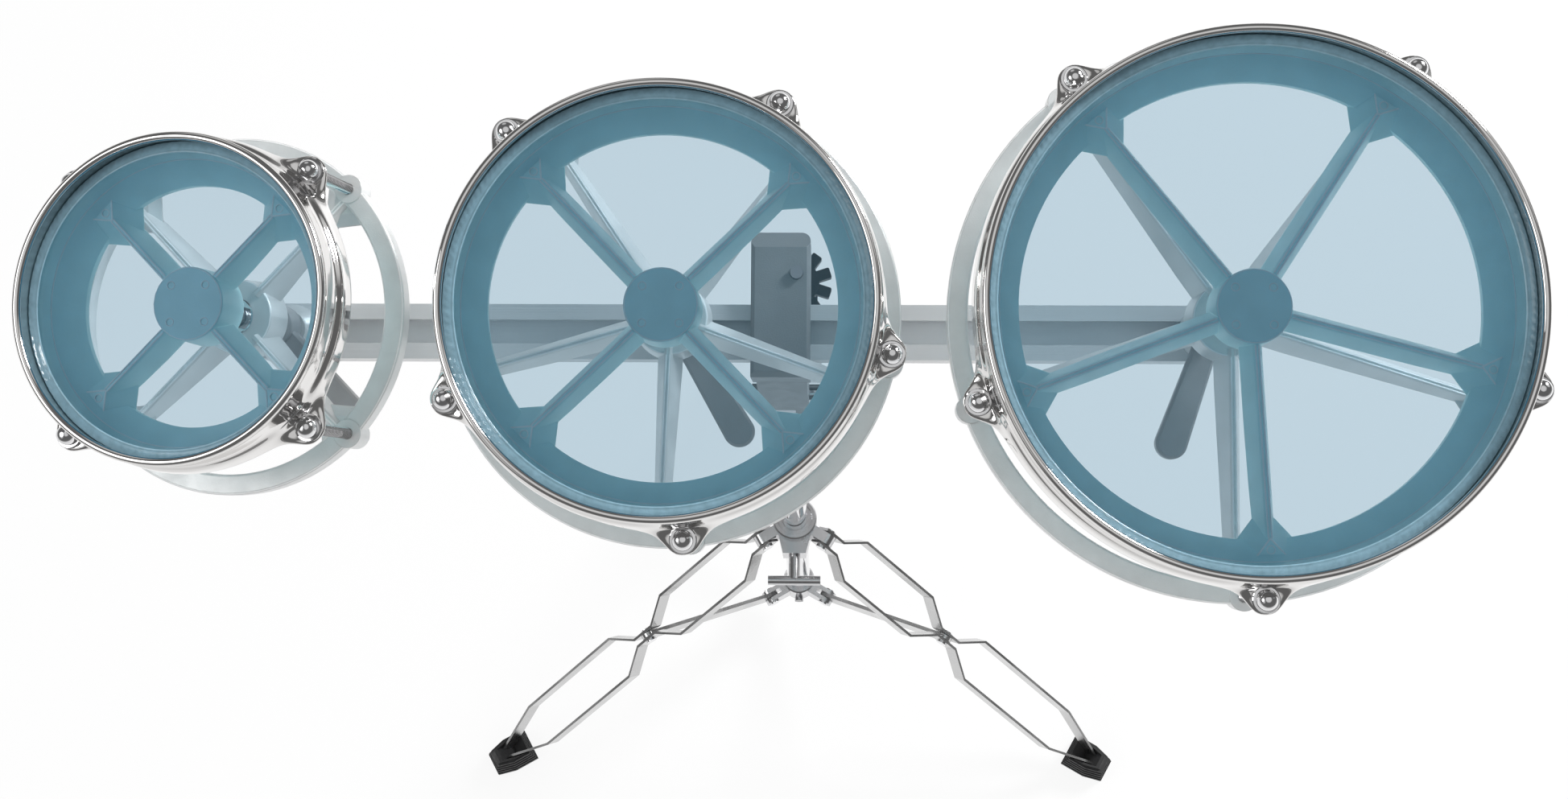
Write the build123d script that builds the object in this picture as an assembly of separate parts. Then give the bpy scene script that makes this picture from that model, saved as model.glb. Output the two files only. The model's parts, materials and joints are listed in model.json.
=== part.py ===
from build123d import *
import os
from math import atan2, cos, degrees, hypot, radians, sin, tan

os.makedirs("parts", exist_ok=True)

# A set of three shell-less tunable drums on a slotted rail, with a tilting clamp and a folding tripod.
# Millimetres. Built with the column on x = y = 0 and the floor at z = 0, then moved so that the
# origin is the middle of the bounding box, at floor level. The player stands on the -Y side.

# Heads: nominal radius (6, 8 and 10 inch), tuning lugs, upper spokes, where the drum stands on the
# rail, and how far its shaft leans outwards at the end of the rail
DRUMS = {
    "small": dict(radius=76.2, lugs=4, spokes=4, low_spokes=4, x=-265.0, lean=-8.2,
                  lug_angle=46.3, spoke_angle=45.0, low_spoke_angle=45.0, lever_angle=-47.0),
    "medium": dict(radius=101.6, lugs=5, spokes=4, low_spokes=5, x=-54.0, lean=0.0,
                   lug_angle=60.0, spoke_angle=44.0, low_spoke_angle=-20.0, lever_angle=-59.0),
    "large": dict(radius=127.0, lugs=5, spokes=5, low_spokes=5, x=227.0, lean=0.0,
                  lug_angle=55.5, spoke_angle=57.0, low_spoke_angle=54.0, lever_angle=-110.0),
}

# The slotted rail and how it stands
RAIL_HEIGHT = 628.0          # middle of the rail above the floor
RAIL_TILT = 15.0             # the heads lean this far towards the player
RAIL_WIDTH = 30.0
RAIL_DEPTH = 16.0
RAIL_WALL = 2.0
RAIL_SLOT = 13.0
RAIL_OVERHANG = 18.0         # rail beyond the outer shafts
HEAD_ABOVE_RAIL = 131.0      # head plane above the middle of the rail

# Drum sections, measured from the nominal radius (radially) and the head plane (along the shaft)
FILM = 0.35
EDGE_IN = 2.9                # bearing edge inside the nominal radius
HOOP_IN = 0.9
HOOP_WALL = 1.4
HOOP_TOP = 8.0
HOOP_STEP = -6.0
HOOP_FOOT = -16.0
LIP = 2.2                    # radius of the rolled lip
FLESH_OUT = 3.6
FLESH_TOP = -8.0
FLESH_FOOT = -13.0
FLANGE = 2.2
FLANGE_OUT = 6.5             # plain edge of the hoop's flange, outside the nominal radius
EAR_SHAPE = ((-26, 0), (-15, 1.2), (-9.2, 4.8), (-5.0, 10.2), (0, 12.1),
             (5.0, 10.2), (9.2, 4.8), (15, 1.2), (26, 0))    # along the rim, and out from the flange
ROD_OUT = 11.0
ROD = 2.8
ROD_HEAD = 4.5
UPPER_RING_IN = 17.0
UPPER_RING_FOOT = -24.0
UPPER_SPOKE = 10.8
UPPER_SPOKE_FOOT = -27.0
RIDGE = 1.6
UPPER_HUB = 18.0
UPPER_HUB_TOP = -11.5
UPPER_HUB_FOOT = -32.0
EJECTOR_MARK = 2.0
LOWER_RING_IN = 4.4
LOWER_RING_OUT = 14.8
LOWER_RING_TOP = -57.0
LOWER_RING_FOOT = -65.0
LOWER_SPOKE = 12.6
LOWER_BOSS = 7.2
LOWER_HUB = 19.0
LOWER_HUB_TOP = -60.0
LOWER_HUB_FOOT = -77.0
SHAFT = 5.5
SHAFT_TOP = -24.0
BEARING = 2.0
RUN = 0.05                   # radial clearance of a running fit

# Rail clamp and tilter
CLAMP_WIDTH = 32.0
CLAMP_FRONT = -25.0
CLAMP_BACK = 54.0
CLAMP_SKIN = 9.0
TILT_OUT = -25.0             # tilt axis from the middle of the rail, along the rail's width
TILT_DOWN = -90.0            # and down, square to the heads
KNUCKLE = 14.0
KNUCKLE_WIDTH = 13.0
CLAMP_CORNER = 5.0
KNOB_SIDE = 8.5              # knob from the middle of the clamp, along the rail
KNOB_BACK = 31.0
KNOB_HUB = 12.0
KNOB_REACH = 19.0
KNOB_ARMS = 10

# Column
LOWER_TUBE = 9.5
UPPER_TUBE = 8.0
LOWER_TUBE_FOOT = 34.0
LOWER_TUBE_TOP = 418.0
UPPER_TUBE_FOOT = 262.0
CLAMP_COLLAR = 14.5

# Tripod
FOOT_RADIUS = 298.0          # middle of each rubber foot from the column
PIVOT_RADIUS = 27.0
HUB_HEIGHT = 54.0
BRACKET_HEIGHT = 244.0
LEG_END = (280.0, 22.0)      # end of a leg: radius and height
STRIP = 2.0
STRIP_DEPTH = 12.0
BRACE = 3.0
LEG_SPREAD = 17.5
LUG = 8.0
RIVET = 2.6
LEG_ENTRY = 44.0             # a leg starts to narrow this far before its end
LEG_TOE = 3.5                # half the distance between the two strips at their ends
SHOE = ((-19.0, -13.5), (2.0, -13.5), (17.0, -9.5), (17.0, 9.5), (2.0, 13.5), (-19.0, 13.5))
SHOE_RIBS = 5
SHOE_RIB = 5.0
LEG_AZIMUTH = {"left": 210.0, "right": 330.0, "back": 90.0}

made = {}


def profile(points):
    """A closed outline in the XZ plane, from (radius, height) pairs."""
    return Plane.XZ * make_face(Polyline(*points, close=True))


def turned(points):
    return revolve(profile(points), Axis.Z)


def rod(radius, low, high):
    return Pos(0, 0, low) * Cylinder(radius, high - low, align=(Align.CENTER, Align.CENTER, Align.MIN))


def slab(points, low, high):
    return Pos(0, 0, low) * extrude(make_face(Polyline(*points, close=True)), high - low)


def turn_about_z(angle):
    return Rot(0, 0, angle)


def around(count, first=0.0):
    return [turn_about_z(first + 360.0 * k / count) for k in range(count)]


def polar(radius, angle):
    return radius * cos(radians(angle)), radius * sin(radians(angle))


def rail_frame(x=0.0, lean=0.0):
    """Place on the rail: X along the rail, Z square to the heads."""
    return Pos(x, 0, RAIL_HEIGHT) * Rot(RAIL_TILT, 0, 0) * Rot(0, lean, 0)


def drum_frame(drum):
    return rail_frame(drum["x"], drum["lean"]) * Pos(0, 0, HEAD_ABOVE_RAIL)


def point_of(location, x=0.0, y=0.0, z=0.0):
    return (location * Pos(x, y, z)).position


def put(name, shape):
    made[name] = shape


# Drums

def flange_outline(drum):
    """Edge of the hoop's flange: round between the lugs, and swelling into an ear at each."""
    base = drum["radius"] + FLANGE_OUT
    step = 360.0 / drum["lugs"]
    reach = degrees(EAR_SHAPE[-1][0] / base)
    edges = []
    for k in range(drum["lugs"]):
        middle = drum["lug_angle"] + step * k
        points = [polar(base + out, middle + degrees(along / base)) for along, out in EAR_SHAPE]
        along_rim = [polar(1.0, middle + side * reach + 90) for side in (-1, 1)]
        edges.append(Spline(*points, tangents=along_rim))
        far = [polar(base, middle + turn) for turn in (reach, step / 2, step - reach)]
        edges.append(ThreePointArc(*far))
    return make_face(edges)


def hoop(drum):
    r = drum["radius"]
    wall, outer = r + HOOP_IN, r + HOOP_IN + HOOP_WALL
    skirt = r + FLESH_OUT + 0.3
    body = turned([(wall, HOOP_TOP), (outer, HOOP_TOP), (outer, HOOP_STEP + 1.0), (outer + 1.0, HOOP_STEP),
                   (skirt + HOOP_WALL, HOOP_STEP - 1.0), (skirt + HOOP_WALL, HOOP_FOOT), (skirt, HOOP_FOOT),
                   (skirt, HOOP_STEP - HOOP_WALL), (wall, HOOP_STEP - HOOP_WALL)])
    lip = Pos(0, 0, HOOP_TOP) * Torus(wall + 0.2, LIP)
    flange = Pos(0, 0, HOOP_FOOT) * extrude(flange_outline(drum), FLANGE)
    flange -= rod(skirt, HOOP_FOOT - 1, HOOP_FOOT + 4)
    holes = [place * Pos(r + ROD_OUT, 0, 0) * rod(ROD + RUN, HOOP_FOOT - 1, HOOP_FOOT + 4)
             for place in around(drum["lugs"], drum["lug_angle"])]
    return (body + lip + flange) - holes


def head_film(drum):
    """The flat film, and the collar that is crimped into the flesh hoop."""
    r = drum["radius"]
    edge, skirt = r - EDGE_IN, r + 0.5
    disc = turned([(0, FILM), (edge, FILM), (edge + 0.9, FILM - 0.4), (edge + 0.7, -0.3), (edge, 0), (0, 0)])
    collar = turned([(edge + 0.9, FILM - 0.4), (skirt, -4.0), (skirt, FLESH_FOOT + 1),
                     (skirt - FILM, FLESH_FOOT + 1), (skirt - FILM, -4.0), (edge + 0.7, -0.3)])
    return Compound([disc, collar])


def flesh_hoop(drum):
    r = drum["radius"]
    return turned([(r + 0.8, FLESH_TOP), (r + FLESH_OUT, FLESH_TOP), (r + FLESH_OUT, FLESH_FOOT),
                   (r + 0.8, FLESH_FOOT)])


def spoke_bar(width, top, foot, inner, outer):
    """A roof-shaped bar along +X: a narrow ridge over sloping sides and a shallow upright base."""
    half, crest = width / 2, RIDGE / 2
    right = [(half, foot), (half, foot + 1.5), (crest + 0.9, top - 1.3), (crest, top)]
    left = [(-y, z) for y, z in reversed(right)]
    section = Plane.YZ * make_face(Polyline(*right, *left, close=True))
    return Pos(inner, 0, 0) * extrude(section, outer - inner)


def gusset(slope, low_tip, high_tip, end, foot, top):
    """Drafted triangular block between a spoke and its ring, along +X, with a flat top."""
    faces = []
    for tip, height in ((low_tip, foot), (high_tip, top)):
        half = (end - tip) * tan(radians(slope))
        faces.append(Pos(0, 0, height) * make_face(Polyline((tip, 0), (end, -half), (end, half), close=True)))
    return loft(faces, ruled=True)


def upper_frame(drum):
    r = drum["radius"]
    edge, inner = r - EDGE_IN, r - UPPER_RING_IN
    crest = UPPER_HUB_TOP - 1
    ring = turned([(edge - 1.3, -0.4), (edge, -0.02), (edge + 1.2, -1.2), (r - 1.0, -9.0),
                   (inner + 3.4, UPPER_RING_FOOT), (inner, UPPER_RING_FOOT), (inner, UPPER_RING_FOOT + 3.0),
                   (r - 6.5, -8.5), (edge - 1.9, -4.0)])
    room = turned([(0, 0), (edge, -0.4), (r - 1.2, -9.0), (inner + 3.2, UPPER_RING_FOOT), (0, UPPER_RING_FOOT - 6)])
    bar = spoke_bar(UPPER_SPOKE, crest, UPPER_SPOKE_FOOT, UPPER_HUB - 4, inner + 4)
    block = gusset(40, inner - 16.4, inner - 0.6, inner + 12, UPPER_RING_FOOT, crest)
    mark = Pos(inner + 4.8, 0, 0) * rod(EJECTOR_MARK, crest - 0.5, crest + 1)
    spoke = ((bar + block) & room) - mark
    hub = turned([(0, UPPER_HUB_TOP), (UPPER_HUB - 0.8, UPPER_HUB_TOP), (UPPER_HUB, UPPER_HUB_TOP - 0.8),
                  (UPPER_HUB + 0.6, UPPER_HUB_FOOT), (0, UPPER_HUB_FOOT)])
    marks = [place * Pos(UPPER_HUB * 0.7, 0, 0) * rod(EJECTOR_MARK, UPPER_HUB_TOP - 0.4, UPPER_HUB_TOP + 1)
             for place in around(4, 45.0)]
    frame = ring + hub + [place * spoke for place in around(drum["spokes"], drum["spoke_angle"])]
    return frame - rod(SHAFT + RUN, UPPER_HUB_FOOT - 1, SHAFT_TOP + BEARING) - marks


def lower_frame(drum):
    r = drum["radius"]
    inner, outer = r + LOWER_RING_IN, r + LOWER_RING_OUT
    top, foot, skin = LOWER_RING_TOP, LOWER_RING_FOOT, 2.5
    ring = turned([(inner, top - 1), (inner + 1, top), (outer - 1, top), (outer, top - 1), (outer, foot),
                   (outer - 2, foot), (outer - 2, top - skin), (inner + 2, top - skin), (inner + 2, foot),
                   (inner, foot)])
    lugs = [place * Pos(r + ROD_OUT, 0, 0) for place in around(drum["lugs"], drum["lug_angle"])]
    bosses = [lug * rod(LOWER_BOSS, foot - 3, top + 0.6) for lug in lugs]
    holes = [lug * rod(ROD, foot - 4, top + 2) for lug in lugs]
    bar = spoke_bar(LOWER_SPOKE, top - 0.6, LOWER_HUB_FOOT + 3, LOWER_HUB - 4, inner + 2)
    block = gusset(40, inner - 18, inner - 9, inner + 2, foot, top - 4)
    room = turned([(0, top), (inner + 1.8, top), (inner + 1.8, foot), (0, LOWER_HUB_FOOT + 2)])
    spoke = (bar + block) & room
    hub = turned([(0, LOWER_HUB_TOP), (LOWER_HUB - 0.8, LOWER_HUB_TOP), (LOWER_HUB, LOWER_HUB_TOP - 0.8),
                  (LOWER_HUB + 1.4, LOWER_HUB_FOOT + 1), (LOWER_HUB + 0.4, LOWER_HUB_FOOT), (0, LOWER_HUB_FOOT)])
    frame = ring + bosses + hub
    frame += [place * spoke for place in around(drum["low_spokes"], drum["low_spoke_angle"])]
    return frame - holes - rod(SHAFT + RUN, LOWER_HUB_FOOT - 1, LOWER_HUB_TOP + 1)


def tension_rods(drum):
    """Each rod with the washer under its domed head."""
    seat = HOOP_FOOT + FLANGE
    shank = rod(ROD, LOWER_RING_FOOT - 5.5, seat + 1.6)
    head = turned([(0, seat + 1.6), (ROD_HEAD, seat + 1.6), (ROD_HEAD, seat + 4.4),
                   (ROD_HEAD - 1.2, seat + 6.4), (0, seat + 7.2)])
    washer = rod(ROD_HEAD + 1.1, seat, seat + 1.55) - rod(ROD + 0.2, seat - 1, seat + 3)
    solids = []
    for place in around(drum["lugs"], drum["lug_angle"]):
        spot = place * Pos(drum["radius"] + ROD_OUT, 0, 0)
        solids += [spot * (shank + head), spot * washer]
    return Compound(solids)


def shaft(drum):
    foot = RAIL_DEPTH / 2 - HEAD_ABOVE_RAIL - 8.0
    return rod(SHAFT, foot, SHAFT_TOP) - rod(2.4, foot - 1, foot + 8)


def thrust_bearing(drum):
    return rod(SHAFT - 0.3, SHAFT_TOP, SHAFT_TOP + BEARING - 0.05)


def clamp_lever(drum):
    """Lock nut with a long flat handle, tapered and rounded at its end."""
    low = RAIL_DEPTH / 2 - HEAD_ABOVE_RAIL + 13.0
    nut = turned([(0, low), (11.5, low), (12.0, low + 1), (11.0, low + 10), (9.0, low + 11), (0, low + 11)])
    handle = make_hull([Circle(6.0).edge(), (Pos(64, 0) * Circle(8.3)).edge()])
    plate = Pos(0, 0, low + 2.5) * extrude(handle, 6.0)
    plate = chamfer(plate.faces().sort_by(Axis.Z)[-1].edges(), 1.4)
    lever = nut + plate - rod(SHAFT + RUN, low - 1, low + 13)
    return turn_about_z(drum["lever_angle"]) * lever


def rail_foot(drum):
    """Conical seat on the rail; its bore leans with the shaft, and its base lies flat on the rail."""
    low = RAIL_DEPTH / 2
    seat = turned([(0, low + 0.02), (14.0, low + 0.02), (14.0, low + 3), (9.5, low + 8), (9.5, low + 10.5),
                   (0, low + 10.5)])
    tongue = Pos(0, 0, low - RAIL_WALL / 2) * Box(20, RAIL_SLOT - 0.6, RAIL_WALL + 0.2)
    return seat + tongue


def slide_nut(drum):
    low = RAIL_DEPTH / 2 - RAIL_WALL - 6.2
    return Pos(0, 0, low) * Box(24, RAIL_WIDTH - 2 * RAIL_WALL - 1.0, 5.5,
                                align=(Align.CENTER, Align.CENTER, Align.MIN))


def make_drum(name, drum):
    place, seat = drum_frame(drum), rail_frame(drum["x"])
    bore = place * rod(SHAFT, -HEAD_ABOVE_RAIL - 12, SHAFT_TOP - 20)
    for piece in (hoop, head_film, flesh_hoop, upper_frame, lower_frame, tension_rods, shaft, thrust_bearing,
                  clamp_lever):
        put(f"{name}_{piece.__name__}", place * piece(drum))
    put(f"{name}_rail_foot", seat * rail_foot(drum) - bore)
    put(f"{name}_slide_nut", seat * slide_nut(drum) - bore)


# Rail, clamp and tilter

def rail():
    half, deep, slot = RAIL_WIDTH / 2, RAIL_DEPTH / 2, RAIL_SLOT / 2
    inner, floor = half - RAIL_WALL, RAIL_WALL - deep
    outline = [(-half, -deep), (half, -deep), (half, deep), (slot, deep), (slot, deep - RAIL_WALL),
               (inner, deep - RAIL_WALL), (inner, floor), (-inner, floor), (-inner, deep - RAIL_WALL),
               (-slot, deep - RAIL_WALL), (-slot, deep), (-half, deep)]
    left = DRUMS["small"]["x"] - RAIL_OVERHANG
    right = DRUMS["large"]["x"] + RAIL_OVERHANG
    bar = extrude(Plane.YZ * make_face(Polyline(*outline, close=True)), right - left)
    return rail_frame(left) * bar


def rail_clamp():
    """A casting shaped like a C round the rail, with a forked arm down to the tilt bolt."""
    top, low = RAIL_DEPTH / 2 + CLAMP_SKIN, -RAIL_DEPTH / 2 - CLAMP_SKIN
    half = RAIL_WIDTH / 2 + 0.15
    outline = Polyline((CLAMP_FRONT, low), (CLAMP_FRONT, top - 3), (CLAMP_FRONT + 3, top), (CLAMP_BACK - 9, top),
                       (CLAMP_BACK, top - 7), (CLAMP_BACK, low + 7), (CLAMP_BACK - 9, low), close=True)
    body = Pos(-CLAMP_WIDTH / 2, 0, 0) * extrude(Plane.YZ * make_face(outline), CLAMP_WIDTH)
    body = fillet(body.edges().filter_by(Axis.Z).group_by(Axis.Y)[-1], CLAMP_CORNER)
    body = chamfer(body.faces().sort_by(Axis.Z)[-1].edges().filter_by(Axis.Y), 2.0)
    arm = Plane.YZ * make_hull([(Pos(TILT_OUT, TILT_DOWN) * Circle(KNUCKLE)).edge(),
                                (Pos(CLAMP_FRONT + 11, low + 2) * Circle(11)).edge()])
    body += Pos(-CLAMP_WIDTH / 2 + 2, 0, 0) * extrude(arm, CLAMP_WIDTH - 4)
    tunnel = Box(CLAMP_WIDTH + 2, 2 * half, RAIL_DEPTH + 0.3)
    slit = Pos(0, (CLAMP_BACK + half) / 2, 0) * Box(CLAMP_WIDTH + 2, CLAMP_BACK - half + 2, 5)
    fork = Pos(0, TILT_OUT, TILT_DOWN - 1) * Box(KNUCKLE_WIDTH + 0.6, 2 * KNUCKLE + 12, 2 * KNUCKLE + 6)
    bolt = Pos(0, TILT_OUT, TILT_DOWN) * Rot(0, 90, 0) * rod(4.0 + RUN, -30, 30)
    stud = Pos(KNOB_SIDE, KNOB_BACK, 0) * rod(3.5, -30, 30)
    return rail_frame() * (body - tunnel - slit - fork - bolt - stud)


def star_knob():
    """Knob with ten square paddles under the clamp, on the stud that closes it over the rail."""
    top = -RAIL_DEPTH / 2 - CLAMP_SKIN - 0.3
    hub = rod(KNOB_HUB, top - 10, top)
    paddle = Pos(KNOB_REACH / 2, 0, top - 5) * Box(KNOB_REACH, 6, 7)
    paddle = fillet(paddle.edges().filter_by(Axis.Z).group_by(Axis.X)[-1], 1.0)
    stud = rod(3.4, top - 2, RAIL_DEPTH / 2 + CLAMP_SKIN + 3.0)
    knob = hub + [place * paddle for place in around(KNOB_ARMS, 18.0)] + stud
    return rail_frame() * Pos(KNOB_SIDE, KNOB_BACK, 0) * knob


def tilt_point():
    return point_of(rail_frame(), 0, TILT_OUT, TILT_DOWN)


def wing_bolt(shank, radius, head):
    """Along +X: a plain shank, a collar and two rounded wings."""
    bolt = Rot(0, 90, 0) * (rod(radius, -shank, 0) + rod(radius + 2.4, 0, head))
    wing = make_hull([(Pos(0, 0) * Circle(3.4)).edge(), (Pos(8, 12) * Circle(3.6)).edge()])
    for side in (0, 180):
        bolt += Rot(side, 0, 0) * Pos(head - 3.4, 0, -2) * extrude(wing, 4)
    return bolt


def tilt_wing_bolt():
    x, y, z = tilt_point()
    nut = Pos(-CLAMP_WIDTH / 2 - 3.6, 0, 0) * Rot(0, 90, 0) * extrude(RegularPolygon(7.0, 6), 5.5)
    side = CLAMP_WIDTH / 2 - 1.8
    return Pos(x, y, z) * Rot(-35, 0, 0) * (Pos(side, 0, 0) * wing_bolt(2 * side, 4.0, 7.0) + nut)


def tilter_knuckle():
    """Chromed eye for the tilt bolt on a collar over the top of the column."""
    x, y, z = tilt_point()
    eye = Pos(-KNUCKLE_WIDTH / 2, y, z) * Rot(0, 90, 0) * rod(KNUCKLE - 0.6, 0, KNUCKLE_WIDTH)
    neck = turned([(0, z - 36), (10.5, z - 36), (10.5, z - 22), (6.3, z - 16), (6.3, z - 8), (0, z - 8)])
    bolt = Pos(0, y, z) * Rot(0, 90, 0) * rod(4.0 + RUN, -30, 30)
    return eye + neck - bolt - rod(UPPER_TUBE, z - 40, z - 20)


# Column

def upper_tube():
    top = tilt_point().Z - 20
    return rod(UPPER_TUBE, UPPER_TUBE_FOOT, top) - rod(UPPER_TUBE - 1.5, UPPER_TUBE_FOOT - 1, top + 1)


def lower_tube():
    tube = turned([(0, LOWER_TUBE_FOOT), (LOWER_TUBE - 2.5, LOWER_TUBE_FOOT), (LOWER_TUBE, LOWER_TUBE_FOOT + 2.5),
                   (LOWER_TUBE, LOWER_TUBE_TOP), (0, LOWER_TUBE_TOP)])
    return tube - rod(UPPER_TUBE + RUN, LOWER_TUBE_FOOT + 4, LOWER_TUBE_TOP + 1)


def height_clamp():
    """Collar on top of the lower tube, with a boss for its bolt."""
    low, high = LOWER_TUBE_TOP - 22, LOWER_TUBE_TOP + 5
    inner, middle = UPPER_TUBE + 0.06, LOWER_TUBE_TOP - 8.5
    collar = turned([(inner, low), (CLAMP_COLLAR, low), (CLAMP_COLLAR, high - 5), (CLAMP_COLLAR - 2, high),
                     (inner, high)])
    boss = turn_about_z(70) * Pos(CLAMP_COLLAR + 1, 0, middle) * Box(10, 15, 17)
    bore = rod(LOWER_TUBE, low - 1, LOWER_TUBE_TOP) + rod(inner, low, high + 1)
    bolt = turn_about_z(70) * Pos(0, 0, middle) * Rot(0, 90, 0) * rod(3.0 + RUN, 10, 40)
    return collar + boss - bore - bolt


def height_wing_bolt():
    level = LOWER_TUBE_TOP - 8.5
    return turn_about_z(70) * Pos(CLAMP_COLLAR + 6.4, 0, level) * wing_bolt(10.0, 3.0, 8.0)


# Tripod

def pivot_lug(height, thick):
    """An arm with a rounded end, from the column out to a leg pivot, lying along +X."""
    end = make_hull([(Pos(PIVOT_RADIUS, height) * Circle(6.5)).edge(), (Pos(8, height) * Circle(8.0)).edge()])
    return extrude(Plane.XZ * end, thick / 2, both=True)


def leg_bracket():
    """Sliding collar with a lug for each leg, a wedge-shaped boss and a recessed top."""
    low, high = BRACKET_HEIGHT - 13, BRACKET_HEIGHT + 13
    collar = turned([(0, low), (15.5, low), (16.5, low + 1), (16.5, high - 1), (15.5, high), (13.0, high),
                     (12.5, high - 1.5), (0, high - 1.5)])
    lugs = [turn_about_z(a) * pivot_lug(BRACKET_HEIGHT, LUG) for a in LEG_AZIMUTH.values()]
    holes = [turn_about_z(a) * Pos(PIVOT_RADIUS, 0, BRACKET_HEIGHT) * Rot(90, 0, 0) * rod(3.3, -9, 9)
             for a in LEG_AZIMUTH.values()]
    boss = slab([(-13, -8), (-8.5, -26), (8.5, -26), (13, -8)], BRACKET_HEIGHT - 8, BRACKET_HEIGHT + 8)
    thread = Pos(0, 0, BRACKET_HEIGHT) * Rot(90, 0, 0) * rod(3.0 + RUN, 5, 40)
    bore = rod(LOWER_TUBE + 0.08, low - 1, high + 1)
    return collar + boss + lugs - bore - holes - thread


def bracket_t_bolt():
    """T-handled screw that locks the leg bracket on the column."""
    stem = rod(3.0, LOWER_TUBE + 0.4, 26.4) + rod(4.3, 26.4, 44)
    bar = Pos(0, 0, 45) * Rot(0, 90, 0) * rod(3.6, -19.5, 19.5)
    return Pos(0, 0, BRACKET_HEIGHT) * Rot(90, 0, 0) * (stem + bar)


def lower_hub():
    low, high = HUB_HEIGHT - 12, HUB_HEIGHT + 12
    collar = turned([(0, low), (12.0, low), (13.0, low + 1), (13.0, high - 1), (12.0, high), (0, high)])
    gap = BRACE + 0.8
    arms = []
    for a in LEG_AZIMUTH.values():
        fork = pivot_lug(HUB_HEIGHT, gap + 7.0)
        slot = Pos(PIVOT_RADIUS + 4, 0, HUB_HEIGHT) * Box(26, gap, 40)
        pin = Pos(PIVOT_RADIUS, 0, HUB_HEIGHT) * Rot(90, 0, 0) * rod(RIVET, -9, 9)
        arms.append(turn_about_z(a) * (fork - slot - pin))
    return collar + arms - rod(LOWER_TUBE, low - 1, high + 1)


def rivet(half, head=1.3):
    return Rot(90, 0, 0) * (rod(RIVET, -half, half) + rod(RIVET + 1.6, half, half + head)
                            + rod(RIVET + 1.6, -half - head, -half))


def hub_rivets():
    half = (BRACE + 0.8 + 7.0) / 2
    return Compound([turn_about_z(a) * Pos(PIVOT_RADIUS, 0, HUB_HEIGHT) * rivet(half)
                     for a in LEG_AZIMUTH.values()])


def hub_screw():
    """Small screw on the player's side that pins the hub to the column."""
    head = rod(3.6, 13.0, 16.5) - Pos(0, 0, 17) * Box(8, 1.2, 2.4)
    return Pos(0, 0, HUB_HEIGHT - 4) * Rot(90, 0, 0) * head


def leg_angle():
    return degrees(atan2(BRACKET_HEIGHT - LEG_END[1], LEG_END[0] - PIVOT_RADIUS))


def leg_length():
    return hypot(BRACKET_HEIGHT - LEG_END[1], LEG_END[0] - PIVOT_RADIUS)


def brace_length():
    """The mid pivot stands halfway between the hubs, so leg top and brace make equal sides."""
    return (BRACKET_HEIGHT - HUB_HEIGHT) / 2 / sin(radians(leg_angle()))


def leg_strip():
    """One bowed strip of a leg, in the leg's own frame: X down the leg, Y sideways."""
    mid, end = brace_length(), leg_length()
    near = BRACE / 2 + 0.5 + STRIP / 2
    top = LUG / 2 + 0.5 + STRIP / 2
    path = [(-7, top), (12, top), (30, LEG_SPREAD), (mid - 34, LEG_SPREAD), (mid - 11, near), (mid + 11, near),
            (mid + 34, LEG_SPREAD), (end - LEG_ENTRY, LEG_SPREAD), (end + 6, LEG_TOE)]
    outline = [(s, t + STRIP / 2) for s, t in path] + [(s, t - STRIP / 2) for s, t in reversed(path)]
    return slab(outline, -STRIP_DEPTH / 2, STRIP_DEPTH / 2)


def leg_place():
    return Pos(PIVOT_RADIUS, 0, BRACKET_HEIGHT) * Rot(0, leg_angle(), 0)


def leg():
    strip = leg_strip()
    mid = Pos(brace_length(), 0, 0) * Rot(90, 0, 0) * rod(RIVET, -9, 9)
    strip -= mid
    return leg_place() * Compound([strip, mirror(strip, Plane.XZ)])


def leg_rivets():
    """Middle pivot, and the two rivet heads at the top, which stay clear of the bracket."""
    half = BRACE / 2 + 0.5 + STRIP
    top = LUG / 2 + 0.5 + STRIP
    heads = [Rot(90, 0, 0) * rod(RIVET + 1.6, top, top + 1.4), Rot(-90, 0, 0) * rod(RIVET + 1.6, top, top + 1.4)]
    return leg_place() * Compound([Pos(brace_length(), 0, 0) * rivet(half), *heads])


def brace():
    length = brace_length()
    bar = make_hull([Circle(STRIP_DEPTH / 2).edge(), (Pos(length, 0) * Circle(STRIP_DEPTH / 2)).edge()])
    plate = extrude(Plane.XZ * bar, BRACE / 2, both=True)
    holes = [Pos(x, 0, 0) * Rot(90, 0, 0) * rod(RIVET + RUN, -9, 9) for x in (0, length)]
    return Pos(PIVOT_RADIUS, 0, HUB_HEIGHT) * Rot(0, -leg_angle(), 0) * (plate - holes)


def shoe_outline(inset):
    return [(x - inset * (1 if x > 0 else -1), y - inset * (1 if y > 0 else -1)) for x, y in SHOE]


def strip_recess():
    """Wedge-shaped recess for the narrowing end of a leg, in the leg's own frame."""
    end = leg_length() + 6
    slope = (LEG_SPREAD - LEG_TOE) / (LEG_ENTRY + 6)
    entry, toe = LEG_TOE + 40 * slope + 1.9, LEG_TOE + 1.9
    return slab([(end - 40, -entry), (end, -toe), (end, toe), (end - 40, entry)], -STRIP_DEPTH / 2, 60)


def rubber_foot():
    """Ribbed rubber shoe, widest at the floor, that takes the end of the two strips."""
    height = SHOE_RIBS * SHOE_RIB + 2
    shoe = slab(shoe_outline(SHOE_RIBS * 0.7 + 0.9), 0, height)
    for k in range(SHOE_RIBS):
        shoe += slab(shoe_outline(0.7 * k), SHOE_RIB * k, SHOE_RIB * k + 3.7)
    side = Plane.XZ * make_face(Polyline((-22, -1), (20, -1), (20, 8), (13, 21), (9, height), (-22, height),
                                         close=True))
    return Pos(FOOT_RADIUS - 12, 0, 0) * (shoe & extrude(side, 20, both=True))


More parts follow.
